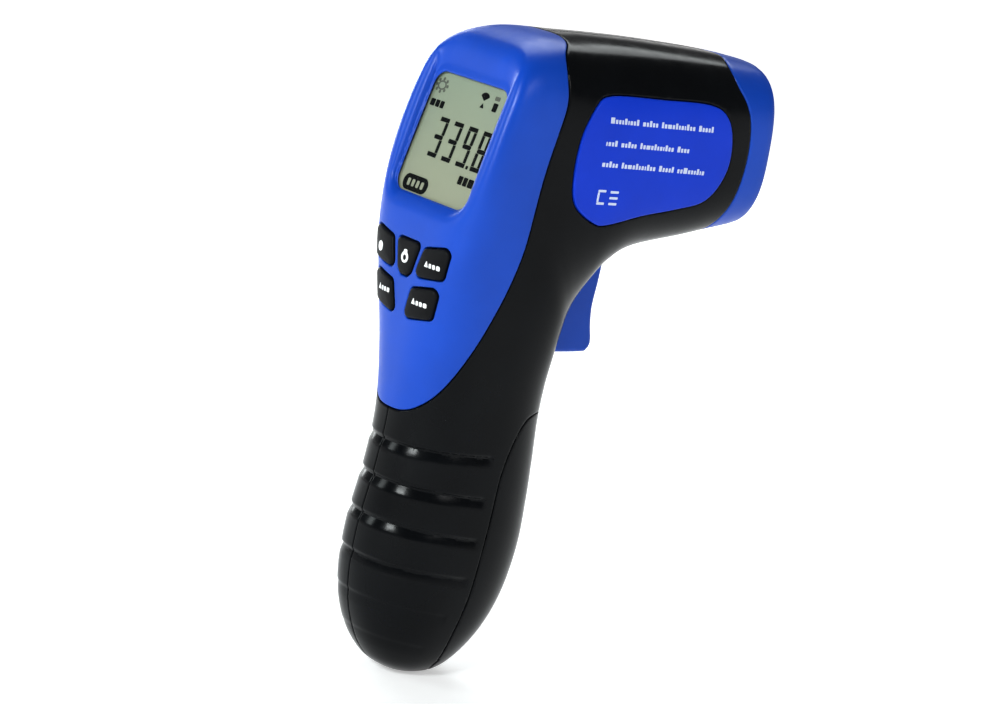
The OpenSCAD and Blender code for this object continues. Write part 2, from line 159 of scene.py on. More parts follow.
LABEL_LINE = [(-66.6, 13.2), (-47, 13.3), (-28, 12.9), (-20.5, 9.3), (-17.4, 1), (-18, -8),
              (-23.6, -16.6), (-34.7, -19.9), (-48, -22.4), (-60.4, -25.4), (-66.5, -25.2),
              (-75, -20), (-77.4, -12), (-76.8, 0.3), (-72.4, 10)]
TRIGGER_LINE = [(-43.4, -34), (-43.6, -46), (-44.4, -55), (-43.8, -61), (-42.7, -66.6),
                (-43.8, -69.2), (-46.4, -70), (-60, -70), (-63.6, -67.5), (-64.4, -56),
                (-60, -42), (-57.4, -33), (-55.6, -28.8), (-52, -27.2), (-47, -28.4)]
# Key outlines in the (x, z) plane; the right-hand ones mirror the left-hand ones.
SIDE_KEY = [(-19.3, -36.3), (-8.2, -38.5), (-5.2, -47.7), (-17.2, -46.3)]
POWER_KEY = [(-5.9, -37.8), (5.9, -37.8), (3.4, -46.8), (1.6, -48.5), (-1.6, -48.5), (-3.4, -46.8)]
LOW_KEY = [(-16.3, -49.1), (-5, -51.2), (-2.3, -60.9), (-14, -59)]
KEY_CORNER, POWER_CORNER = 1.8, 1.3
# Grip grooves: height at the back, drop towards the front in degrees, length, depth.
GROOVES = ((-98.4, 3, 29, 0.85), (-110, 6, 29, 0.85), (-122, 8, 28.5, 0.8),
           (-134.5, 8, 27, 0.7), (-146.7, 9, 22, 0.25), (-158, 10, 18, 0.12))
GROOVE_Y = -113
# Across a groove, counted up from its line: where it starts to drop and how far that takes,
# where it starts to rise and how far that takes, and how its end fades out.
DROP_FROM, DROP_RUN, RISE_FROM, RISE_RUN, GROOVE_END = 0.9, 1.4, -0.5, 3.0, 2.2
GROOVE_ROWS = (0.9, 0.4, -0.1, -0.5, -1.1, -1.9, -2.7, -3.5)

# The leaning display face: across X, up the face, and outward. Skin deeper than FACE_DEPTH
# behind it isn't part of it; FAR is a field's value for a place out of reach.
LEAN = math.radians(15.5)
FACE_AT = np.array((0, -107.15, -16.93))
FACE_X = np.array((1.0, 0, 0))
FACE_UP = np.array((0, math.sin(LEAN), math.cos(LEAN)))
FACE_OUT = np.array((0, -math.cos(LEAN), math.sin(LEAN)))
FACE_DEPTH, OPENING_DEPTH, REAR_Y, FAR = 12, 8, -100, 30


def to_face(p):
    q = p - FACE_AT
    return np.stack([q[:, 0], q @ FACE_UP, q @ FACE_OUT], 1)


def from_face(q):
    q = np.asarray(q, float)
    return FACE_AT + q[:, :1] * FACE_X + q[:, 1:2] * FACE_UP + q[:, 2:3] * FACE_OUT


# ---- outlines
def catmull(a, b, c, d, t):
    """The Catmull-Rom curve from b to c at t, where a and d are the points beyond them."""
    return 0.5 * (2 * b + (c - a) * t + (2 * a - 5 * b + 4 * c - d) * t * t
                  + (3 * b - a - 3 * c + d) * t ** 3)


def spline(points, steps, loop=False):
    """Catmull-Rom curve through 2-D points."""
    p = np.array(points, float)
    n = len(p)
    out = []
    for i in range(n if loop else n - 1):
        near = [(i + k) % n if loop else min(max(i + k, 0), n - 1) for k in (-1, 0, 1, 2)]
        out += [catmull(*p[near], t) for t in np.arange(steps) / steps]
    return np.array(out if loop else out + [p[-1]])


def rounded(points, radius, steps=6):
    """A polygon with its corners turned into arcs."""
    p = np.array(points, float)
    out = []
    for a, b, c in zip(np.roll(p, 1, 0), p, np.roll(p, -1, 0)):
        u, v = (a - b) / np.linalg.norm(a - b), (c - b) / np.linalg.norm(c - b)
        half = math.acos(np.clip(u @ v, -1, 1)) / 2
        mid = (u + v) / np.linalg.norm(u + v)
        centre = b + mid * radius / math.sin(half)
        start = b + u * radius / math.tan(half) - centre
        end = b + v * radius / math.tan(half) - centre
        for t in np.arange(steps + 1) / steps:
            q = start * (1 - t) + end * t
            out.append(centre + q * radius / np.linalg.norm(q))
    return np.array(out)


def ellipse(cx, cy, rx, ry=None, n=28):
    a = np.arange(n) * 2 * math.pi / n
    return np.stack([cx + rx * np.cos(a), cy + (ry or rx) * np.sin(a)], 1)


CORNERS = ((-1, -1), (1, -1), (1, 1), (-1, 1))


def bar(cx, cy, w, h, r=None):
    pts = [(cx + a * w / 2, cy + b * h / 2) for a, b in CORNERS]
    return rounded(pts, min(w, h) * 0.3 if r is None else r, 4)


def mirrored(points):
    return np.array(points)[::-1] * (-1, 1)


COVER = np.concatenate([spline(COVER_LINE, 6), [(-140, -92), (-140, 60), (-74, 60)]])
NOSE = np.concatenate([spline(NOSE_LINE, 6), [(10, -36), (10, 34)]])
DOOR = np.concatenate([spline(DOOR_LINE, 6), [HINGE, (HINGE[0], -190), (-30, -190), (-30, -88)]])
LABEL = spline(LABEL_LINE, 6, True)
KEYS = {"light": rounded(SIDE_KEY, KEY_CORNER), "power": rounded(POWER_KEY, POWER_CORNER),
        "auto": rounded(mirrored(SIDE_KEY), KEY_CORNER), "record": rounded(LOW_KEY, KEY_CORNER),
        "manual": rounded(mirrored(LOW_KEY), KEY_CORNER)}


def outline_distance(poly, q):
    """Signed distance to a closed outline, positive inside, and its gradient."""
    best = np.full(len(q), np.inf)
    near = np.zeros_like(q)
    inside = np.zeros(len(q), bool)
    for a, b in zip(poly, np.roll(poly, -1, 0)):
        e = b - a
        w = q - a
        d = w - np.clip(w @ e / max(e @ e, 1e-12), 0, 1)[:, None] * e
        dd = np.einsum("ij,ij->i", d, d)
        closer = dd < best
        best[closer], near[closer] = dd[closer], d[closer]
        if a[1] != b[1]:
            x = a[0] + (q[:, 1] - a[1]) / (b[1] - a[1]) * e[0]
            inside ^= ((a[1] > q[:, 1]) != (b[1] > q[:, 1])) & (q[:, 0] < x)
    dist = np.sqrt(best)
    s = np.where(inside, 1.0, -1.0)
    return s * dist, s[:, None] * near / np.maximum(dist, 1e-9)[:, None]


# ---- the body's skin
def section(u):
    u = np.clip(u, 0, LAST)
    i = np.minimum(u.astype(int), LAST - 1)
    t = (u - i)[:, None]
    a, b = STATIONS[np.maximum(i - 1, 0)], STATIONS[i]
    c, d = STATIONS[i + 1], STATIONS[np.minimum(i + 2, LAST)]
    return catmull(a, b, c, d, t)


def skin(uv):
    """Points of the outer skin: u counts stations, v is the angle round the section."""
    s = section(uv[:, 0])
    c, n = np.cos(uv[:, 1]), np.sin(uv[:, 1])
    e = np.where(n > 0, s[:, 5], s[:, 6])
    r = (np.abs(c) ** e + np.abs(n) ** e) ** (-1 / e)
    o, q = s[:, 0:2], s[:, 2:4]
    p = (o + q) / 2 + (o - q) / 2 * (r * n)[:, None]
    return np.stack([s[:, 4] * r * c, p[:, 0], p[:, 1]], 1)


def skin_normal(uv):
    h, k = 0.01, 0.004
    du = skin(uv + (h, 0)) - skin(uv - (h, 0))
    dv = skin(uv + (0, k)) - skin(uv - (0, k))
    n = np.cross(dv, du)
    return n / np.maximum(np.linalg.norm(n, axis=1), 1e-9)[:, None]


def grid(us, vs):
    """Vertices and triangles of a parameter grid."""
    uv = np.stack(np.meshgrid(us, vs, indexing="ij"), -1).reshape(-1, 2)
    m = len(vs)
    i = (np.arange(len(us) - 1)[:, None] * m + np.arange(m - 1)).ravel()
    tri = np.concatenate([np.stack([i, i + m, i + 1], 1),
                          np.stack([i + m, i + m + 1, i + 1], 1)])
    return uv, tri


def even_steps(u0, u1, pitch):
    """Station values from u0 to u1, at most pitch apart on the longer side."""
    u = np.linspace(u0, u1, 1200)
    step = np.zeros(len(u) - 1)
    for angle in (math.pi / 2, 0, -math.pi / 2):
        p = skin(np.stack([u, np.full_like(u, angle)], 1))
        step = np.maximum(step, np.linalg.norm(np.diff(p, axis=0), axis=1))
    run = np.concatenate([[0], np.cumsum(step)])
    return np.interp(np.linspace(0, run[-1], int(run[-1] / pitch) + 2), run, u)


uv_all, tri_all = grid(np.linspace(0, LAST, 260), np.radians(np.arange(-90, 271, 2.5)))
SKIN_TREE = BVHTree.FromPolygons([Vector(p) for p in skin(uv_all)], tri_all.tolist())


def skin_x(y, z, side):
    """x of the skin on one side, above the point (y, z)."""
    hit = SKIN_TREE.ray_cast(Vector((side * 80, y, z)), Vector((-side, 0, 0)))[0]
    return side * 10 if hit is None else hit.x


# ---- fields on the skin
# A field gives each skin point a distance to an edge: the piece is where it's positive.
def sloped(d, g, normal):
    """Turns a distance seen from one side into a distance along the skin."""
    return d / np.sqrt(np.maximum(1 - np.einsum("ij,ij->i", g, normal) ** 2, 0.08))


def within(poly, grow=0.0, axes=(1, 2)):
    """Inside an outline drawn in the plane of two axes, seen from the side by default."""
    def field(p, n):
        d, g = outline_distance(poly, p[:, axes])
        slope = np.zeros_like(p)
        slope[:, axes] = g
        return sloped(d + grow, slope, n)
    return field


def outside(field):
    return lambda p, n: -field(p, n)


def clear_of_axis(at, radius):
    """Outside a circle round an axis along X."""
    def field(p, n):
        d = np.hypot(p[:, 1] - at[0], p[:, 2] - at[1]) - radius
        return np.maximum(d, -np.abs(p[:, 0]))
    return field


def clear_of_box(half_x, y0, y1, z0, z1, r=1.2):
    """Outside a box with rounded corners."""
    def field(p, n):
        d = np.stack([np.abs(p[:, 0]) - half_x, y0 - p[:, 1], p[:, 1] - y1,
                      z0 - p[:, 2], p[:, 2] - z1], 1) + r
        return (np.linalg.norm(np.maximum(d, 0), axis=1) - r
                + np.minimum(d.max(1), 0))
    return field


def past_corners(dx, dv, r):
    """Distance outside a rectangle of corner radius r; dx and dv are past its sides, plus r."""
    return np.hypot(np.maximum(dx, 0), np.maximum(dv, 0)) - r + np.minimum(np.maximum(dx, dv), 0)


def clear_of_opening(p, n):
    """Outside the display opening, on the rear face."""
    q = to_face(p)
    dx = np.abs(q[:, 0]) - LCD_W / 2 + LCD_CORNER
    dv = np.abs(q[:, 1] - LCD_V) - LCD_H / 2 + LCD_CORNER
    return np.where(q[:, 2] > -OPENING_DEPTH, past_corners(dx, dv, LCD_CORNER), FAR)


def all_of(*fields):
    return lambda p, n: np.min([f(p, n) for f in fields], axis=0)


def any_of(*fields):
    return lambda p, n: np.max([f(p, n) for f in fields], axis=0)


SNAP = 0.05


def insert_line(uv, tri, value, level, at):
    """Cuts triangles along value == level. New vertices get the level as their value."""
    side = np.sign(value - level)
    side[np.abs(value - level) < SNAP] = 0
    edges = np.sort(np.stack([tri, np.roll(tri, -1, 1)], -1).reshape(-1, 2), 1)
    crossed = side[edges[:, 0]] * side[edges[:, 1]] < 0
    if not crossed.any():
        return uv, tri, value
    n = len(uv)
    key, back = np.unique(edges[crossed] @ (n, 1), return_inverse=True)
    p, q = key // n, key % n
    lo, hi = np.zeros(len(key)), np.ones(len(key))
    vlo, vhi = value[p] - level, value[q] - level
    t = vlo / (vlo - vhi)
    for _ in range(3):
        v = at(uv[p] + t[:, None] * (uv[q] - uv[p])) - level
        low = np.sign(v) == np.sign(vlo)
        lo, vlo = np.where(low, t, lo), np.where(low, v, vlo)
        hi, vhi = np.where(low, hi, t), np.where(low, vhi, v)
        t = lo + (hi - lo) * np.clip(vlo / np.where(vlo == vhi, 1, vlo - vhi), 0.02, 0.98)
    fresh = uv[p] + t[:, None] * (uv[q] - uv[p])
    mid = np.full(len(edges), -1)
    mid[crossed] = n + back.ravel()
    mid = mid.reshape(-1, 3)
    count = (mid >= 0).sum(1)
    out = [tri[count == 0]]
    for k in range(3):
        a, b, c = (np.roll(tri, -k, 1)[:, j] for j in range(3))
        ab, ca = (np.roll(mid, -k, 1)[:, j] for j in (0, 2))
        one = (count == 1) & (ab >= 0)
        two = (count == 2) & (ab >= 0) & (ca >= 0)
        out += [np.stack(t3, 1)[m] for t3, m in (
            ((a, ab, c), one), ((ab, b, c), one),
            ((a, ab, ca), two), ((ab, b, ca), two), ((b, c, ca), two))]
    value = np.concatenate([np.where(side == 0, level, value), np.full(len(key), level)])
    return np.concatenate([uv, fresh]), np.concatenate(out), value


def compact(tri, *arrays):
    used, tri = np.unique(tri, return_inverse=True)
    return tri.reshape(-1, 3), [a[used] for a in arrays]


def skin_piece(us, vs, field, rim, lines=()):
    """The part of a skin grid where field is positive, with fine rows along its rim.
    lines are (function of uv, levels): extra edges that a relief needs."""
    uv, tri = grid(us, vs)

    def at(q):
        return field(skin(q), skin_normal(q))
    rough = at(uv)
    tri = tri[rough[tri].max(1) > -2]
    tri, (uv,) = compact(tri, uv)
    for relief, levels in lines:
        for level in levels:
            uv, tri, _ = insert_line(uv, tri, relief(uv), level, relief)
    value = at(uv)
    for level in (0, 0.08 * rim, 0.3 * rim, rim):
        uv, tri, value = insert_line(uv, tri, value, level, at)
        if level == 0:
            tri = tri[(value[tri].min(1) >= 0) & (value[tri].max(1) > 0)]
            tri, (uv, value) = compact(tri, uv, value)
    return uv, tri, value


def rim_drop(value, rim):
    d = np.clip(value, 0, rim)
    return rim - np.sqrt(rim ** 2 - (rim - d) ** 2)


def closed_shell(top, low, tri):
    """A solid between two copies of the same triangles."""
    n = len(top)
    edges = np.stack([tri, np.roll(tri, -1, 1)], -1).reshape(-1, 2)
    key = np.sort(edges, 1) @ (n, 1)
    _, first, count = np.unique(key, return_index=True, return_counts=True)
    e = edges[first[count == 1]]
    sides = np.stack([e[:, 1], e[:, 0], e[:, 0] + n, e[:, 1] + n], 1)
    return np.concatenate([top, low]), tri.tolist() + (tri[:, ::-1] + n).tolist() + sides.tolist()


# ---- mesh building
class Solid:
    """Gathers closed meshes, in millimetres, into one object."""

    def __init__(self):
        self.verts, self.faces, self.marks = [], [], []
        self.count = 0

    def add(self, verts, faces, mark=0):
        self.verts.append(np.asarray(verts, float))
        self.faces += [[i + self.count for i in f] for f in faces]
        self.marks += [mark] * len(faces)
        self.count += len(verts)
        return self

    def make(self, name, materials, slot, body, replaces=(), sharp=38):
        mesh = bpy.data.meshes.new(name)
        mesh.from_pydata((np.concatenate(self.verts) * MM).tolist(), [], self.faces)
        for m in materials:
            mesh.materials.append(m)
        mesh.polygons.foreach_set("material_index", self.marks)
        bm = bmesh.new()
        bm.from_mesh(mesh)
        bmesh.ops.recalc_face_normals(bm, faces=bm.faces)
        bm.to_mesh(mesh)
        bm.free()
        mesh.polygons.foreach_set("use_smooth", [True] * len(mesh.polygons))
        mesh.set_sharp_from_angle(angle=math.radians(sharp))
        mesh.update()
        obj = bpy.data.objects.new(name, mesh)
        bpy.context.collection.objects.link(obj)
        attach(obj, body)
        if replaces:
            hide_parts(*replaces)


def inset(outline, d):
    """A closed outline drawn in by d along its corner bisectors."""
    p = np.asarray(outline, float)
    a, c = np.roll(p, 1, 0) - p, np.roll(p, -1, 0) - p
    a /= np.linalg.norm(a, axis=1)[:, None]
    c /= np.linalg.norm(c, axis=1)[:, None]
    na, nc = np.stack([a[:, 1], -a[:, 0]], 1), np.stack([-c[:, 1], c[:, 0]], 1)
    m = na + nc
    m /= np.maximum(np.linalg.norm(m, axis=1), 1e-9)[:, None]
    area = np.sum(p[:, 0] * np.roll(p[:, 1], -1) - p[:, 1] * np.roll(p[:, 0], -1))
    reach = d / np.maximum(np.einsum("ij,ij->i", m, nc), 0.6)
    return p + m * (reach * (1 if area > 0 else -1))[:, None]


def slab(outline, place, lo, hi, edge, holes=(), steps=4):
    """A plate between heights lo and hi with rounded edges, put in space by place."""
    verts, faces = [], []
    loops = [(np.asarray(outline, float), 1)] + [(np.asarray(h, float), -1) for h in holes]
    caps = {0: [], 1: []}
    levels = [(lo + edge * (1 - math.sin(t)), edge * (1 - math.cos(t)))
              for t in np.linspace(math.pi / 2, 0, steps + 1)]
    levels += [(lo + hi - h, d) for h, d in reversed(levels)]
    for loop, sign in loops:
        n, start = len(loop), len(verts)
        for h, d in levels:
            verts += [(*q, h) for q in inset(loop, d * sign)]
        for k in range(len(levels) - 1):
            for i in range(n):
                j = (i + 1) % n
                a = start + k * n
                faces.append([a + i, a + j, a + n + j, a + n + i])
        caps[0].append(list(range(start, start + n)))
        top = start + (len(levels) - 1) * n
        caps[1].append(list(range(top, top + n)))
    for end in (0, 1):
        index = [i for loop in caps[end] for i in loop]
        polys = [[Vector((verts[i][0], verts[i][1], 0)) for i in loop] for loop in caps[end]]
        faces += [[index[i] for i in t] for t in tessellate_polygon(polys)]
    return place(np.array(verts)), faces


def ring_faces(n, m):
    """Quads between n closed loops of m points, the last loop joined to the first."""
    return [[i * m + k, ((i + 1) % n) * m + k, ((i + 1) % n) * m + (k + 1) % m,
             i * m + (k + 1) % m] for i in range(n) for k in range(m)]


def lathe(profile, place, n=96):
    """Turns a closed (radius, height) profile about the height axis."""
    p = np.array(profile, float)
    a = np.arange(n) * 2 * math.pi / n
    verts = np.stack([np.outer(np.cos(a), p[:, 0]), np.outer(np.sin(a), p[:, 0]),
                      np.tile(p[:, 1], (n, 1))], -1).reshape(-1, 3)
    return place(verts), ring_faces(n, len(p))


def along_y(x=0, z=0):
    """Local height becomes +Y."""
    return lambda v: np.stack([v[:, 0] + x, v[:, 2], v[:, 1] + z], 1)


def along_x(v):
    """Local (a, b, height) becomes (y, z, x)."""
    return np.stack([v[:, 2], v[:, 0], v[:, 1]], 1)


# ---- materials
def link(tree, a, out, b, into):
    tree.links.new(a.outputs[out], b.inputs[into])


def set_inputs(node, values):
    """Sets a node's inputs, named with _ for a space."""
    for key, value in values.items():
        node.inputs[key.replace("_", " ")].default_value = value


def add_node(tree, kind, **values):
    node = tree.nodes.new("ShaderNode" + kind)
    set_inputs(node, values)
    return node


def noise(tree, scale, detail=3.0, stretch=None):
    source = add_node(tree, "TexCoord"), "Object"
    node = add_node(tree, "TexNoise", Scale=scale, Detail=detail)
    if stretch:
        mapping = add_node(tree, "Mapping", Scale=stretch)
        link(tree, *source, mapping, "Vector")
        source = mapping, "Vector"
    link(tree, *source, node, "Vector")
    return node


def height(tree, space="Object"):
    """A node whose Z output is the height in that space."""
    split = add_node(tree, "SeparateXYZ")
    link(tree, add_node(tree, "TexCoord"), space, split, "Vector")
    return split


def ranged(tree, source, out, lo, hi, frm, to, smooth=False):
    """Maps an output's span from frm to to onto lo to hi."""
    node = add_node(tree, "MapRange", From_Min=frm, From_Max=to, To_Min=lo, To_Max=hi)
    if smooth:
        node.interpolation_type = "SMOOTHSTEP"
    link(tree, source, out, node, "Value")
    return node


def two_tone(tree, factor, out, a, b):
    """Base colour that goes from a to b as the output goes from 0 to 1."""
    mix = add_node(tree, "Mix")
    mix.data_type = "RGBA"
    mix.inputs[6].default_value, mix.inputs[7].default_value = (*a, 1), (*b, 1)
    link(tree, factor, out, mix, 0)
    link(tree, mix, 2, tree.nodes["Principled BSDF"], "Base Color")


# Scales of the slow drift and of the uneven gloss, the noise's useful span, and the grain's
# depth over its size.
DRIFT, GLOSS, NOISE_SPAN, GRAIN_DEPTH = 55, 320, (0.35, 0.65), 0.3


def surface(name, colour, roughness, grain_mm=0.3, bump=0.1, vary=0.1, gloss_vary=0.05,
            stretch=None, **sockets):
    """A base finish: fine grain in the bump, slow drift of colour, uneven gloss."""
    m = bpy.data.materials.new(name)
    m.use_nodes = True
    t = m.node_tree
    bsdf = t.nodes["Principled BSDF"]
    set_inputs(bsdf, sockets)
    drift = ranged(t, noise(t, DRIFT, 4), "Fac", 0, 1, *NOISE_SPAN)
    two_tone(t, drift, "Result", [c * (1 - vary) for c in colour],
             [min(c * (1 + vary), 1) for c in colour])
    uneven = ranged(t, noise(t, GLOSS, 3), "Fac", roughness - gloss_vary,
                    roughness + gloss_vary, *NOISE_SPAN)
    link(t, uneven, "Result", bsdf, "Roughness")
    rough = add_node(t, "Bump", Strength=bump, Distance=grain_mm * MM * GRAIN_DEPTH)
    link(t, noise(t, 1 / (grain_mm * MM), 2, stretch), "Fac", rough, "Height")
    link(t, rough, "Normal", bsdf, "Normal")
    return m


# After the colour: roughness, grain in mm, bump, drift of the colour, drift of the gloss.
blue = surface("blue_plastic", (0.005, 0.070, 0.455), 0.34, 1.2, 0.03, 0.04, 0.03,
               Specular_IOR_Level=0.32)
black = surface("black_plastic", (0.0036, 0.0044, 0.0056), 0.2, 1.0, 0.015, 0.15, 0.03,
                Specular_IOR_Level=0.15)
label_blue = surface("label_film", (0.005, 0.05, 0.55), 0.33, 1.0, 0.02, 0.04, 0.03,
                     Specular_IOR_Level=0.2)
rubber = surface("key_rubber", (0.0045, 0.005, 0.0065), 0.45, 0.6, 0.06, 0.2, 0.03,
                 Specular_IOR_Level=0.15)
print_white = surface("printed_white", (0.85, 0.87, 0.88), 0.5, 0.15, 0.1, 0.03)
label_print = surface("printed_small", (0.58, 0.64, 0.80), 0.5, 0.15, 0.1, 0.03)
lcd_ink = surface("lcd_segment", (0.003, 0.004, 0.004), 0.4, 0.2, 0.05, 0.2,
                  Specular_IOR_Level=0.06)
lcd_faint = surface("lcd_segment_faint", (0.10, 0.11, 0.085), 0.4, 0.2, 0.05, 0.1)
white = surface("white_plastic", (0.75, 0.75, 0.72), 0.5)
chip = surface("chip_resin", (0.02, 0.02, 0.022), 0.5, 0.12, 0.3, 0.2)
steel = surface("plated_steel", (0.55, 0.56, 0.58), 0.3, 0.25, 0.1, 0.06, Metallic=1.0,
                stretch=(1, 8, 1))
brass = surface("turned_brass", (0.66, 0.46, 0.17), 0.28, 0.25, 0.1, 0.08, Metallic=1.0,
                stretch=(1, 8, 1))
tinned = surface("switch_metal", (0.6, 0.6, 0.6), 0.35, 0.3, 0.1, 0.06, Metallic=1.0)
glass = surface("window_glass", (0.03, 0.035, 0.035), 0.08, 0.8, 0.01, 0.02, 0.02, Alpha=0.05)
lens = surface("lens_glass", (0.30, 0.36, 0.5), 0.05, 0.8, 0.01, 0.1, 0.02, Alpha=0.55,
               Coat_Weight=0.6)


def lcd_material():
    """Reflective liquid crystal: grey-green, warmer towards the foot of the panel."""
    m = surface("lcd_panel", (0.34, 0.39, 0.28), 0.42, 0.25, 0.05)
    t = m.node_tree
    low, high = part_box("lcd_panel")
    rise = ranged(t, height(t), "Z", 0, 1, low[2], high[2])
    two_tone(t, rise, "Result", (0.35, 0.37, 0.265), (0.29, 0.35, 0.26))
    return m


def board_material():
    """Green solder mask with fine copper tracks under it."""
    m = surface("circuit_board", (0.01, 0.12, 0.05), 0.35, 0.2, 0.1)
    t = m.node_tree
    tracks = add_node(t, "TexBrick", Scale=260, Mortar_Size=0.03, Color1=(0.01, 0.12, 0.05, 1),
                      Color2=(0.012, 0.15, 0.06, 1), Mortar=(0.05, 0.24, 0.1, 1))
    link(t, add_node(t, "TexCoord"), "Object", tracks, "Vector")
    link(t, tracks, "Color", t.nodes["Principled BSDF"], "Base Color")
    return m


def jacket_material(z_split):
    """Battery jacket: dark sleeve with a copper band at the terminal end."""
    m = surface("battery_jacket", (0.03, 0.03, 0.035), 0.3, 0.3, 0.05, Metallic=0.6)
    t = m.node_tree
    band = add_node(t, "Math")
    band.operation = "GREATER_THAN"
    band.inputs[1].default_value = z_split
    link(t, height(t), "Z", band, 0)
    two_tone(t, band, "Value", (0.02, 0.02, 0.024), (0.5, 0.24, 0.08))
    return m


lcd = lcd_material()
board = board_material()

# ---- reliefs
# The recess round the display: corner radius, half-width and span of its flat, how far its
# ends run out for each millimetre up, and the ellipse its sides rise along. Above that
# ellipse they run out at RIDGE_SLOPE, up to VALLEY_TOP.
VALLEY_R, VALLEY_HX, VALLEY_V = 5, 19.3, (-9, 31)
FOOT_RUN, TOP_RUN = 1, 4.33
RIDGE_RUN, RIDGE_RISE, RIDGE_SLOPE, VALLEY_TOP, CREASE = 6.5, 4.3, 5, 12.0, 0.3
CREASE_ROWS, CREST_ROWS = (0.15, 0.8), (-3.2, -1.9, -0.9, 0, 0.9, 1.9, 3.2)


def valley_edge(q, h):
    """Distance outside the display recess's outline, h above its flat."""
    r = VALLEY_R + h
    run = (RIDGE_RUN * (1 - np.sqrt(1 - np.minimum(h / RIDGE_RISE, 1) ** 2))
           + RIDGE_SLOPE * np.maximum(h - RIDGE_RISE, 0))
    dx = np.abs(q[:, 0]) - VALLEY_HX - run + r
    dv = np.maximum(q[:, 1] - VALLEY_V[1] - TOP_RUN * h, VALLEY_V[0] - FOOT_RUN * h - q[:, 1]) + r
    return past_corners(dx, dv, r)


def valley_floor(q):
    """Height of the display recess over the face plane, and distance from its flat."""
    low, high = np.zeros(len(q)), np.full(len(q), VALLEY_TOP)
    for _ in range(16):
        mid = (low + high) / 2
        out = valley_edge(q, mid) > 0
        low, high = np.where(out, mid, low), np.where(out, high, mid)
    return PANEL_N + np.hypot(low, CREASE) - CREASE, np.maximum(valley_edge(q, 0.0), 0)


def sunk(p, blend=4.0):
    """Points of the cover with the display recess pressed in."""
    q = to_face(p)
    floor = valley_floor(q)[0]
    h = np.clip(1 - np.abs(q[:, 2] - floor) / blend, 0, 1)
    pressed = np.minimum(q[:, 2], floor) - blend / 4 * h * h
    q[:, 2] = np.where(q[:, 2] > -FACE_DEPTH, pressed, q[:, 2])
    return from_face(q)


def crest(uv):
    """Height of the plain skin over the recess: zero along the recess's upper edge."""
    q = to_face(skin(uv))
    return np.where(q[:, 2] > -FACE_DEPTH, q[:, 2] - valley_floor(q)[0], -FAR)


def crease(uv):
    """Distance from the recess's flat."""
    q = to_face(skin(uv))
    return np.where(q[:, 2] > -FACE_DEPTH, valley_floor(q)[1], FAR)


def groove_height(g):
    """A function of uv: distance above a grip groove's line."""
    tilt = math.radians(g[1])

    def above(uv):
        p = skin(uv)
        return (p[:, 2] - g[0] + (p[:, 1] - GROOVE_Y) * math.tan(tilt)) * math.cos(tilt)
    return above


def grooved(uv):
    """Depth of the grip grooves: a short drop from above, a long rise back below."""
    p = skin(uv)
    depth = np.zeros(len(p))
    for g in GROOVES:
        q = groove_height(g)(uv)
        drop = np.clip((DROP_FROM - q) / DROP_RUN, 0, 1)
        rise = np.clip((RISE_FROM - q) / RISE_RUN, 0, 1)
        end = np.clip((p[:, 1] - GROOVE_Y - g[2]) / GROOVE_END + 1, 0, 1)
        depth = np.maximum(depth, g[3] * drop ** 2 * (3 - 2 * drop) * (1 - rise) ** 1.3
                           * np.sqrt(1 - end ** 2))
    return depth


GROOVE_LINES = [(groove_height(g), GROOVE_ROWS) for g in GROOVES]

# ---- shells
SLOT = clear_of_box(TRIGGER_HW + SLOT_GAP, *SLOT_Y, *SLOT_Z)


def half_of(side, x0):
    """The skin on one side, from x0 out, and the angle at its middle."""
    return (lambda p, n: side * p[:, 0] - x0), 0 if side > 0 else math.pi


def make_shell(side, name):
    half, middle = half_of(side, HALF_SEAM)
    field = all_of(half, outside(within(COVER, SEAM)), outside(within(NOSE, SEAM)),
                   outside(within(DOOR, SEAM)), clear_of_axis(HINGE, DISC_R + 0.4), SLOT,
                   outside(within(LABEL, LABEL_GAP)))
    if side < 0:
        field = all_of(field, *(clear_of_axis(p, HEAD_R + HEAD_GAP) for p in POSTS))
    uv, tri, value = skin_piece(even_steps(0.5, LAST, 1.0),
                                middle + np.radians(np.linspace(-93, 93, 118)),
                                field, RIM, GROOVE_LINES)
    p, n = skin(uv), skin_normal(uv)
    top = p - n * (grooved(uv) + rim_drop(value, RIM))[:, None]
    # The inside stays clear of the sweep of the door's foot.
    low = p - n * WALL
    spoke = low[:, 1:] - HINGE
    reach = np.maximum(np.hypot(spoke[:, 0], spoke[:, 1]), 1)
    low[:, 1:] = HINGE + spoke * np.maximum((DISC_R + 0.5) / reach, 1)[:, None]
    solid = Solid().add(*closed_shell(top, low, tri))
    add_posts(solid, side)
    add_ear(solid, side)
    solid.make(name + "_skin", [black], "shell_black", "case", [name])


def add_posts(solid, side):
    for y, z in POSTS:
        rim = [skin_x(y + POST_R * math.cos(a), z + POST_R * math.sin(a), side)
               for a in np.radians(range(0, 360, 45))]
        end = min(abs(x) for x in rim) - POST_SHORT
        thread = SCREW_R + THREAD_GAP
        profile = [(thread, POST_START), (POST_R, POST_START), (POST_R, end)]
        if side < 0:
            seat, bore = HEAD_X - HEAD_T - 0.1, HEAD_R + HEAD_GAP
            profile += [(bore, end), (bore, seat), (thread, seat)]
        else:
            profile.append((thread, end))
        solid.add(*lathe(profile, lambda v: np.stack(
            [side * v[:, 2], v[:, 0] + y, v[:, 1] + z], 1), 32))


def skin_z(y):
    """Underside of the foot at x = 0."""
    hit = SKIN_TREE.ray_cast(Vector((0.01, y, -200)), Vector((0, 0, 1)))[0]
    return hit.z if hit else -172


def on_skin(rib):
    """A hinge rib's outline in (y, z), stopped just above the underside."""
    rib = rib + HINGE
    floor = np.array([skin_z(y) + 0.8 for y in rib[:, 0]])
    rib[:, 1] = np.maximum(rib[:, 1], floor)
    return rib


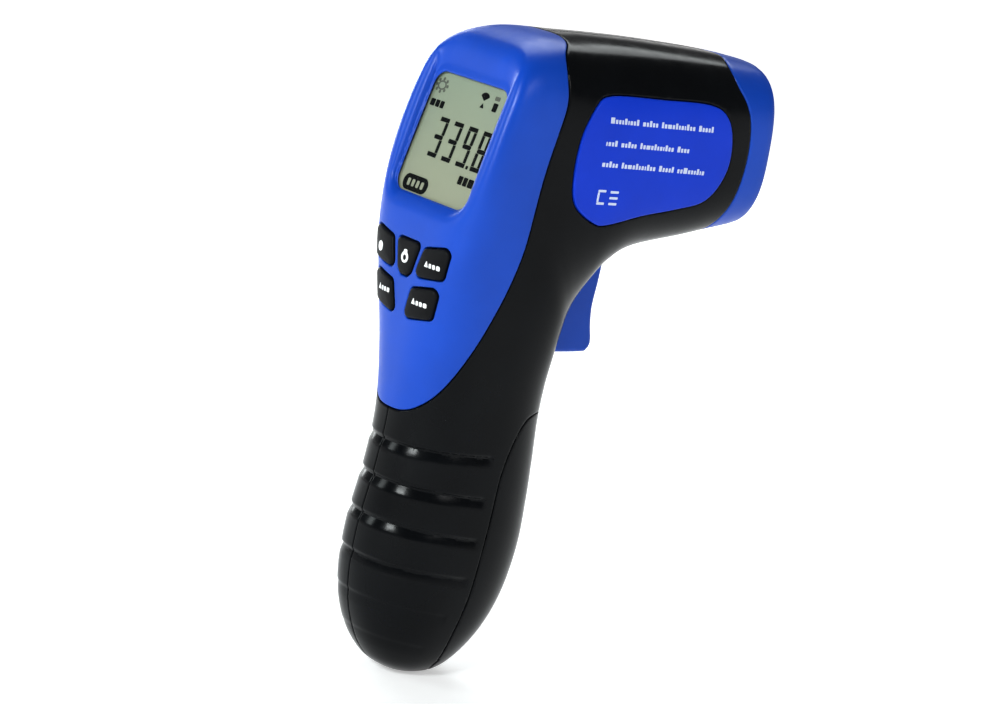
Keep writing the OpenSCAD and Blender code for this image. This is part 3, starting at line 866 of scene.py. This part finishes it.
def knuckle_arc(start, end):
    a = np.radians(np.linspace(start, end, 25))
    return KNUCKLE_R * np.stack([np.cos(a), np.sin(a)], 1)


def door_rib():
    """The door's knuckle with its rib running down to the skin."""
    below = [(y, -9) for y in np.linspace(0.8, 3.6, 7)]
    return on_skin(np.concatenate([knuckle_arc(90, 270), below, [(3.6, 2.1), (0.4, 2.1)]]))


def add_ear(solid, side):
    """A fixed ear: it reaches back and then down, clear of the door's sweep."""
    foot = [(y, -9) for y in np.linspace(-9, -5.4, 6)]
    rib = on_skin(np.concatenate([knuckle_arc(198.6, 480.3), [(-9, 1.9)], foot, [(-5.4, -0.7)]]))
    solid.add(*slab(rib, along_x, side * EAR_X - EAR_W / 2, side * EAR_X + EAR_W / 2, 0.2))


make_shell(1, "right_shell")
make_shell(-1, "left_shell")


# Depth over which the rim turns from the skin's direction to the face's, and least wall.
COVER_TURN, COVER_MIN = 1.2, 0.5


def make_cover():
    keys = [outside(within(k, KEY_GAP, (0, 2))) for k in KEYS.values()]
    rear = [lambda p, n, f=f: np.where(p[:, 1] < REAR_Y, f(p, n), FAR) for f in keys]
    field = all_of(within(COVER), clear_of_opening, *rear)
    uv, tri, value = skin_piece(even_steps(4.6, 14.3, 0.62),
                                np.radians(np.linspace(-6, 186, 290)), field, COVER_RIM,
                                [(crest, CREST_ROWS), (crease, CREASE_ROWS)])
    p, n = skin(uv), skin_normal(uv)
    pressed = sunk(p)
    depth = np.linalg.norm(p - pressed, axis=1)
    w = np.clip(depth / COVER_TURN, 0, 1)[:, None]
    out = n * (1 - w) + FACE_OUT * w
    out /= np.linalg.norm(out, axis=1)[:, None]
    top = pressed - out * rim_drop(value, COVER_RIM)[:, None]
    low = to_face(p - n * (WALL + 0.2))
    low[:, 2] = np.minimum(low[:, 2], to_face(pressed)[:, 2] - COVER_MIN)
    solid = Solid().add(*closed_shell(top, from_face(low), tri))
    solid.make("display_cover_skin", [blue], "shell_blue", "case", ["display_cover"], 42)


make_cover()


# Distances from the nose ring's rear edge of its first rows, then shares of the way from
# station 0 of the rows that reach over the front.
NOSE_ROWS = (0, 0.03, 0.1, 0.22, RIM, 1.2, 2.5)
NOSE_SHARES = (0.78, 0.6, 0.45, 0.3, 0.2, 0.12, 0.06, 0.02, 0.001)
NOSE_PITCH, NOSE_TURNS, NOSE_END, BORE_GAP, BORE_ROUND = 8.6, 200, 3.2, 0.15, 0.4


def make_nose():
    """The ring at the nose, lofted from its rear edge over the front face and back inside."""
    angles = np.arange(NOSE_TURNS) * 2 * math.pi / NOSE_TURNS
    field = within(NOSE)
    lo, hi = np.zeros(NOSE_TURNS), np.full(NOSE_TURNS, NOSE_END)
    for _ in range(26):
        mid = (lo + hi) / 2
        uv = np.stack([mid, angles], 1)
        inside = field(skin(uv), skin_normal(uv)) > 0
        lo, hi = np.where(inside, mid, lo), np.where(inside, hi, mid)
    rings = []
    for s in NOSE_ROWS:
        uv = np.stack([lo - s / NOSE_PITCH, angles], 1)
        rings.append(skin(uv) - skin_normal(uv) * float(rim_drop(np.array([s]), RIM)[0]))
    rings += [skin(np.stack([(lo - 0.3) * f, angles], 1)) for f in NOSE_SHARES]
    front = rings[-1]
    turn = np.arctan2(front[:, 2], front[:, 0])
    port = np.stack([np.cos(turn), 0 * turn, np.sin(turn)], 1)
    bore = BARREL_R + BORE_GAP
    flat = port * (bore + BORE_ROUND)
    rings += [front * (1 - f) + flat * f for f in (0.08, 0.5, 0.9)]
    rings += [port * (bore + BORE_ROUND * (1 - math.sin(t)))
              - (0, BORE_ROUND * (1 - math.cos(t)), 0) for t in np.linspace(0, math.pi / 2, 4)]
    edge_y = skin(np.stack([lo, angles], 1))[:, 1]
    back, back_out = port * bore, rings[0] * 0.9 + port * bore * 0.1
    back[:, 1] = edge_y
    back_out[:, 1] = edge_y
    rings += [(back + port * bore) / 2, back, back_out]
    verts = np.stack(rings, 1).reshape(-1, 3)
    Solid().add(verts, ring_faces(NOSE_TURNS, len(rings))).make(
        "nose_ring_skin", [blue], "shell_blue", "case", ["nose_ring"])


make_nose()


# ---- optics in the nose
# The light baffle in the bore: threads of this pitch and depth, and the plate behind them.
THREADS, THREAD_PITCH, THREAD_DEPTH, BAFFLE_T, CHAMFER = 7, 0.95, 0.4, 3, 0.4


def make_barrel():
    plate = -PORT_L - BAFFLE_T
    outer, sleeve, inner = BARREL_R, BARREL_R - 2, PORT_R - 0.1
    profile = [(PORT_R + CHAMFER, -0.05), (outer - CHAMFER, -0.05), (outer, -0.45),
               (outer, -BARREL_L), (sleeve, -BARREL_L), (sleeve, plate), (inner, plate),
               (inner, -PORT_L)]
    root, tip = PORT_R + 0.02, PORT_R + THREAD_DEPTH
    for k in range(THREADS):
        y = 0.4 - PORT_L + k * THREAD_PITCH
        profile += [(root, y), (tip, y + 0.45), (root, y + 0.5)]
    profile.append((PORT_R, -0.45))
    solid = Solid().add(*lathe(profile, along_y()))
    holes = [ellipse(0, LENS_Z, LENS_R - 0.6, n=64), ellipse(0, LASER_Z, LASER_HOLE_R, n=32)]
    solid.add(*slab(ellipse(0, 0, PORT_R + 0.05, n=96), along_y(), plate, -PORT_L, 0.35, holes))
    solid.make("lens_barrel_body", [black], "shell_black", "case", ["lens_barrel"], 30)


def make_lens():
    face, crown, rim, thick = -PORT_L - BAFFLE_T - 0.3, 1.6, LENS_R - 0.3, 1.8
    profile = [(r, face + crown * (1 - (r / LENS_R) ** 2)) for r in np.linspace(0, rim, 12)]
    profile += [(LENS_R, face - 0.1), (LENS_R, face - thick + 0.2), (LENS_R - 0.2, face - thick),
                (0, face - thick)]
    Solid().add(*lathe(profile, along_y(0, LENS_Z))).make(
        "receiver_lens_glass", [lens], "lens_glass", "case", ["receiver_lens"])


make_barrel()
make_lens()


# ---- side labels
def make_label(side, name):
    half, middle = half_of(side, 0)
    uv, tri, value = skin_piece(even_steps(2.2, 11, 0.9),
                                middle + np.radians(np.linspace(-60, 60, 120)),
                                all_of(half, within(LABEL)), LABEL_PROUD)
    p, n = skin(uv), skin_normal(uv)
    top = p + n * (LABEL_PROUD - rim_drop(value, LABEL_PROUD))[:, None]
    Solid().add(*closed_shell(top, p - n * LABEL_T, tri)).make(
        name + "_pad", [label_blue], "label_blue", "case", [name])
    marks = Solid()
    for outline in label_marks():
        shape = outline if side > 0 else outline * (-1, 1) + (2 * LABEL_MIDDLE, 0)
        drape(marks, shape, lambda a, b: side_hit(a, b, side), LABEL_PROUD)
    marks.make(name + "_print", [label_print], "white_plastic", "case")


def side_hit(y, z, side):
    at, normal, *_ = SKIN_TREE.ray_cast(Vector((side * 80, y, z)), Vector((-side, 0, 0)))
    return np.array(at), np.array(normal) * (1 if normal.x * side > 0 else -1)


def drape(solid, outline, cast, lift, thick=0.07, fan=True, root=0.08):
    """A thin print laid on a surface; its faces fan out from the middle unless it is a ring."""
    spots = [cast(a, b) for a, b in outline]
    n = len(outline)
    ring = [(i, (i + 1) % n) for i in range(n)]
    if fan:
        spots.append(cast(*np.mean(outline, axis=0)))
        m = n + 1
        faces = [[b, a, n] for a, b in ring] + [[a + m, b + m, n + m] for a, b in ring]
    else:
        m = n
        cap = tessellate_polygon([[Vector((a, b, 0)) for a, b in outline]])
        faces = [list(t) for t in cap] + [[i + m for i in reversed(t)] for t in cap]
    low = [at + normal * (lift - root) for at, normal in spots]
    high = [at + normal * (lift + thick) for at, normal in spots]
    solid.add(low + high, faces + [[a, b, b + m, a + m] for a, b in ring])


# Rows of plain blocks stand in for the small print: start y, end y, height at both. Block
# widths of 0 are gaps. The left label's print is turned round about LABEL_MIDDLE.
PRINT_ROWS = ((-67.3, -25.2, 6.0, 5.4), (-67.9, -35.3, -0.7, -1.3), (-68.1, -27.7, -7.0, -7.8))
BLOCKS = (1.5, 0.9, 0.8, 0.7, 0.9, 0.5, 0.9, 0.8, 0.9, 0, 1.1, 0.8, 0.9, 0.8, 0.8, 0, 0.8, 0.9)
TALL, LOW, WORD_GAP, BLOCK_GAP, BASELINE = 1.8, 1.25, 0.8, 0.38, -0.7
MARK_BARS = ((-66.2, -15.0, 3.0, 0.75), (-67.4, -16.9, 0.75, 3.0), (-66.2, -18.8, 3.0, 0.75),
             (-61.4, -17, 3.2, 0.75), (-61.4, -15.2, 3.2, 0.75), (-61.4, -18.8, 3.2, 0.75))
LABEL_MIDDLE = -47.5


def label_marks():
    for row, (y0, y1, z0, z1) in enumerate(PRINT_ROWS):
        y, k = y0, row * 5
        while y < y1:
            w = BLOCKS[k % len(BLOCKS)]
            z = z0 + (z1 - z0) * (y - y0) / (y1 - y0)
            if w:
                h = TALL if k % 4 == 0 else LOW
                yield bar(y + w / 2, z + h / 2 + BASELINE, w, h, 0.2)
            y += (w or WORD_GAP) + BLOCK_GAP
            k += 1
    yield from (bar(*mark) for mark in MARK_BARS)


make_label(1, "right_label")
make_label(-1, "left_label")


# ---- battery door and battery
EAR_GAP, DOOR_ROOM, DOOR_MIN, HINGE_HW = 0.55, 0.5, 0.8, 7


def make_door():
    def from_hinge(p):
        return np.hypot(p[:, 1] - HINGE[0], p[:, 2] - HINGE[1])

    def disc(p, n):
        return np.minimum(DISC_R - from_hinge(p),
                          np.abs(p[:, 0]) - (EAR_X + EAR_W / 2 + EAR_GAP))
    uv, tri, value = skin_piece(even_steps(10.6, LAST, 1.0),
                                np.radians(np.linspace(-90 - 150, -90 + 150, 190)),
                                any_of(within(DOOR, -HALF_SEAM), disc), RIM)
    p, n = skin(uv), skin_normal(uv)
    thin = np.clip(from_hinge(p) - KNUCKLE_R - DOOR_ROOM, DOOR_MIN, WALL)
    wall = np.where(np.abs(p[:, 0]) < HINGE_HW, thin, WALL)
    top = p - n * rim_drop(value, RIM)[:, None]
    solid = Solid().add(*closed_shell(top, p - n * wall[:, None], tri))
    half = EAR_X - EAR_W / 2 - 0.4
    solid.add(*slab(door_rib(), along_x, -half, half, 0.2))
    solid.make("battery_door_skin", [black], "shell_black", "door", ["battery_door"])


make_door()


# 9 V block: terminal height, spacing of its terminals from the middle and their radii, and
# depth of the copper band.
TERMINAL_H, TERMINALS, BAND = 2.3, ((-6.45, 2.8), (6.45, 3.6)), 12


def make_battery():
    low, high = (np.array(c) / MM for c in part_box("battery"))
    centre = (low + high) / 2
    z0, z1 = low[2], high[2] - TERMINAL_H
    outline = bar(centre[0], centre[1], high[0] - low[0], high[1] - low[1], 2.2)

    def as_is(v):
        return v
    solid = Solid().add(*slab(outline, as_is, z0 + 0.3, z1 - 0.3, 0.4))
    solid.add(*slab(inset(outline, 0.5), as_is, z0, z1 - 0.05, 0.1), 1)
    for dx, r in TERMINALS:
        profile = [(r, 0), (r - 0.1, TERMINAL_H), (r - 0.9, TERMINAL_H), (r - 0.9, 0.8), (0, 0.8),
                   (0, 0)]
        solid.add(*lathe(profile, lambda v, dx=dx: v + (centre[0] + dx, centre[1], z1 - 0.06), 24), 2)
    jacket = jacket_material((z1 - BAND) * MM)
    solid.make("battery_block", [jacket, chip, tinned], "battery_jacket", "case", ["battery"])


make_battery()


# ---- trigger
def make_trigger():
    outline = spline(TRIGGER_LINE, 5, True)
    Solid().add(*slab(outline, along_x, -TRIGGER_HW, TRIGGER_HW, 1.5, steps=6)).make(
        "trigger_lever", [blue], "shell_blue", "trigger", ["trigger"])


make_trigger()


# ---- keys and their marks
WORDS = {"auto": (13.6, -42.6), "record": (-8.3, -54.4), "manual": (10.0, -54.7)}
POWER_AT, POWER_TAB = (0.2, -43.1), (0.75, 0.7)


def key_marks(name):
    """Plain marks for each key, in (x, z): a dot, a ring with a tab, or a row of blocks."""
    if name == "light":
        return [bar(-13.5, -42.8, 2.7, 3.1, 1.3)]
    if name == "power":
        x, z = POWER_AT
        ring = ellipse(x, z, 1.8, 1.7, n=32)
        tab = (np.abs(ring[:, 0] - x) < POWER_TAB[0]) & (ring[:, 1] > z + 0.1)
        ring[:, 1] += tab * POWER_TAB[1]
        return [split_ring(ring, ellipse(x, z - 0.1, 0.8, 0.85, n=32)[::-1])]
    x, z = WORDS[name]
    tall = [(x - 3.3, z - 0.9), (x - 1.5, z - 0.9), (x - 2.4, z + 1.1)]
    blocks = [bar(x + dx, z - 0.25, w, 1.4) for dx, w in ((-0.7, 1.05), (0.8, 1.1), (2.4, 1.3))]
    return [rounded(tall, 0.15, 2)] + blocks


def split_ring(outer, inner):
    """A ring as one outline: out and back through a hairline slit."""
    return np.concatenate([outer, outer[:1] + (0, -1e-3), inner, inner[:1] + (0, 1e-3)])


def make_key(name):
    uv, tri, value = skin_piece(even_steps(9.4, 12.3, 0.5), np.radians(np.linspace(32, 148, 150)),
                                within(KEYS[name], axes=(0, 2)), KEY_RIM)
    p, n = skin(uv), skin_normal(uv)
    dome = KEY_DOME * (1 - np.exp(-value / KEY_DOME_RUN))
    top = p + n * (KEY_EDGE + dome - rim_drop(value, KEY_RIM))[:, None]
    low = p.copy()
    low[:, 1] = KEY_BACK_Y
    node = "key_" + name
    body = name + "_key"
    Solid().add(*closed_shell(top, low, tri)).make(
        node + "_cap", [rubber], "key_rubber", body, [node])
    tree = BVHTree.FromPolygons([Vector(v) for v in top], tri.tolist())

    def cast(x, z):
        at, normal, *_ = tree.ray_cast(Vector((x, -140, z)), Vector((0, 1, 0)))
        return np.array(at), np.array(normal) * (-1 if normal.y > 0 else 1)
    marks = Solid()
    for mark in key_marks(name):
        drape(marks, mark, cast, 0.0, 0.06, name != "power")
    marks.make(node + "_mark", [print_white], "white_plastic", body)


for key_name in KEYS:
    make_key(key_name)


# ---- display content
SEGMENTS = {"3": "abgcd", "9": "abfgcd", "8": "abcdefg"}


def digit(char, x, v, w=4.5, h=12.4, t=1.35):
    """Seven-segment outlines: bars across, posts between them."""
    g, m = 0.1, h / 2
    k = t / 2
    row = [(g, 0), (w - g, 0), (w, t), (0, t)]
    mid = [(g, m), (0.4, m + k), (w - 0.4, m + k), (w - g, m), (w - 0.4, m - k), (0.4, m - k)]
    post = [(0, t + g), (t, t + g), (t, m - k - g), (0.3, m - k - g), (0, m - k)]

    def flip(shape, fx, fy):
        s = [((w - a) if fx else a, (h - b) if fy else b) for a, b in shape]
        return s[::-1] if fx != fy else s
    shapes = {"d": row, "a": flip(row, False, True), "g": mid, "e": post,
              "c": flip(post, True, False), "f": flip(post, False, True),
              "b": flip(post, True, True)}
    return [np.array(shapes[s]) + (x, v) for s in SEGMENTS[char]]


def pieces_on_lcd(name, material, outlines, holes=None):
    """Thin printed figures; holes gives the openings of some of them, by place in the list."""
    solid = Solid()
    for i, outline in enumerate(outlines):
        solid.add(*slab(outline, from_face, LCD_N - 0.02, LCD_N + 0.08, 0.03,
                        (holes or {}).get(i, ()), 1))
    solid.make(name, [material], "lcd", "case")


def word(x, v, widths, h, gap=0.45):
    """A row of plain blocks standing in for a word."""
    out = []
    for w in widths:
        out.append(bar(x + w / 2, v, w, h, 0.3))
        x += w + gap
    return out


DIGITS, DIGIT_X, DIGIT_V, POINT = "3398", (-9.9, -2.6, 4.8, 12.2), 3.4, (10.65, 3.95)
LAMP, SUN, CELL, PILL_V = (6.4, 24.9), (-15.6, 24.7), (12.6, 23.2), -5.8


def make_display():
    dark = []
    for char, x in zip(DIGITS, DIGIT_X):
        dark += digit(char, x, DIGIT_V)
    dark.append(bar(*POINT, 1.1, 1.1, 0.3))
    dark += word(-18.0, 19.1, (2.2, 1.9, 1.9), 2.2)
    dark += word(9.0, -0.2, (2.1, 2.0, 2.5), 2.6)
    a = np.radians(np.linspace(20, 160, 14))
    dome = np.stack([2.2 * np.cos(a), 1.8 * np.sin(a)], 1)
    dark.append(np.concatenate([dome, [(0, -0.8)]]) + LAMP)
    dark.append(np.array([(-0.9, -3), (1, -3), (0.1, -1.5)]) + LAMP)
    dark.append(bar(*CELL, 2.2, 2.6, 0.3))
    dark.append(bar(-9.8, PILL_V, 12.6, 5.0, 2.3))
    slits = [bar(x, PILL_V, 1.5, 2.3, 0.45) for x in (-13.3, -11, -8.7, -6.4)]
    pieces_on_lcd("lcd_segments", lcd_ink, dark, {len(dark) - 1: slits})
    rays = np.arange(8) * math.pi / 4
    faint = [ellipse(SUN[0] + 2.7 * math.cos(t), SUN[1] + 2.0 * math.sin(t), 0.55, n=10)
             for t in rays]
    faint += [ellipse(*SUN, 2.1, 1.5), bar(CELL[0] - 0.2, CELL[1] + 2.7, 2.4, 1.3, 0.3)]
    pieces_on_lcd("lcd_icons", lcd_faint, faint, {len(rays): [ellipse(*SUN, 1.5, 1.0)]})


make_display()

# ---- CAD nodes that stay
FINISH = {"laser_module": brass, "receiver_tube": chip, "sensor_board": board, "photodiode": chip,
          "door_hinge_pin": steel, "trigger_pin": steel, "trigger_switch": chip,
          "display_window": glass, "lcd_panel": lcd, "lcd_frame": white, "main_board": board,
          "board_chips": chip, "buzzer": chip, "key_board": board, "key_switches": tinned,
          "battery_snap": chip, "case_screws": steel, "board_screws": steel}
for node, material in FINISH.items():
    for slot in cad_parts[node].material_slots:
        slot.material = material

# ---- floor and finish
FLOOR_HALF = 12


def floor_material():
    """Plain white sweep: lit by the lamps close by, glowing softly further out."""
    m = surface("floor", (0.8, 0.8, 0.8), 0.8, 2, 0.02, 0.005, Emission_Color=(1, 1, 1, 1))
    t = m.node_tree
    distance = add_node(t, "VectorMath")
    distance.operation = "LENGTH"
    link(t, add_node(t, "TexCoord"), "Object", distance, 0)
    glow = ranged(t, distance, "Value", 0.48, 1.0, 0.3, 1.7, True)
    link(t, glow, "Result", t.nodes["Principled BSDF"], "Emission Strength")
    return m


def make_floor():
    corners = [(x * FLOOR_HALF, y * FLOOR_HALF, cad_box[0][2]) for x, y in CORNERS]
    mesh = bpy.data.meshes.new("floor")
    mesh.from_pydata(corners, [], [(0, 1, 2, 3)])
    mesh.materials.append(floor_material())
    floor = bpy.data.objects.new("floor", mesh)
    bpy.context.collection.objects.link(floor)
    floor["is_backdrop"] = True


def make_sky():
    """A world that is white along the horizon and dim overhead."""
    world = bpy.data.worlds.new("studio")
    bpy.context.scene.world = world
    world.use_nodes = True
    t = world.node_tree
    background = t.nodes["Background"]
    background.inputs["Color"].default_value = (1, 1, 1, 1)
    fade = ranged(t, height(t, "Generated"), "Z", 1.0, 0.14, 0.08, 0.22, True)
    link(t, fade, "Result", background, "Strength")


make_floor()
make_sky()

boxes = (cad_box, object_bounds())
[[[float(v) for v in corner] for corner in box] for box in boxes]
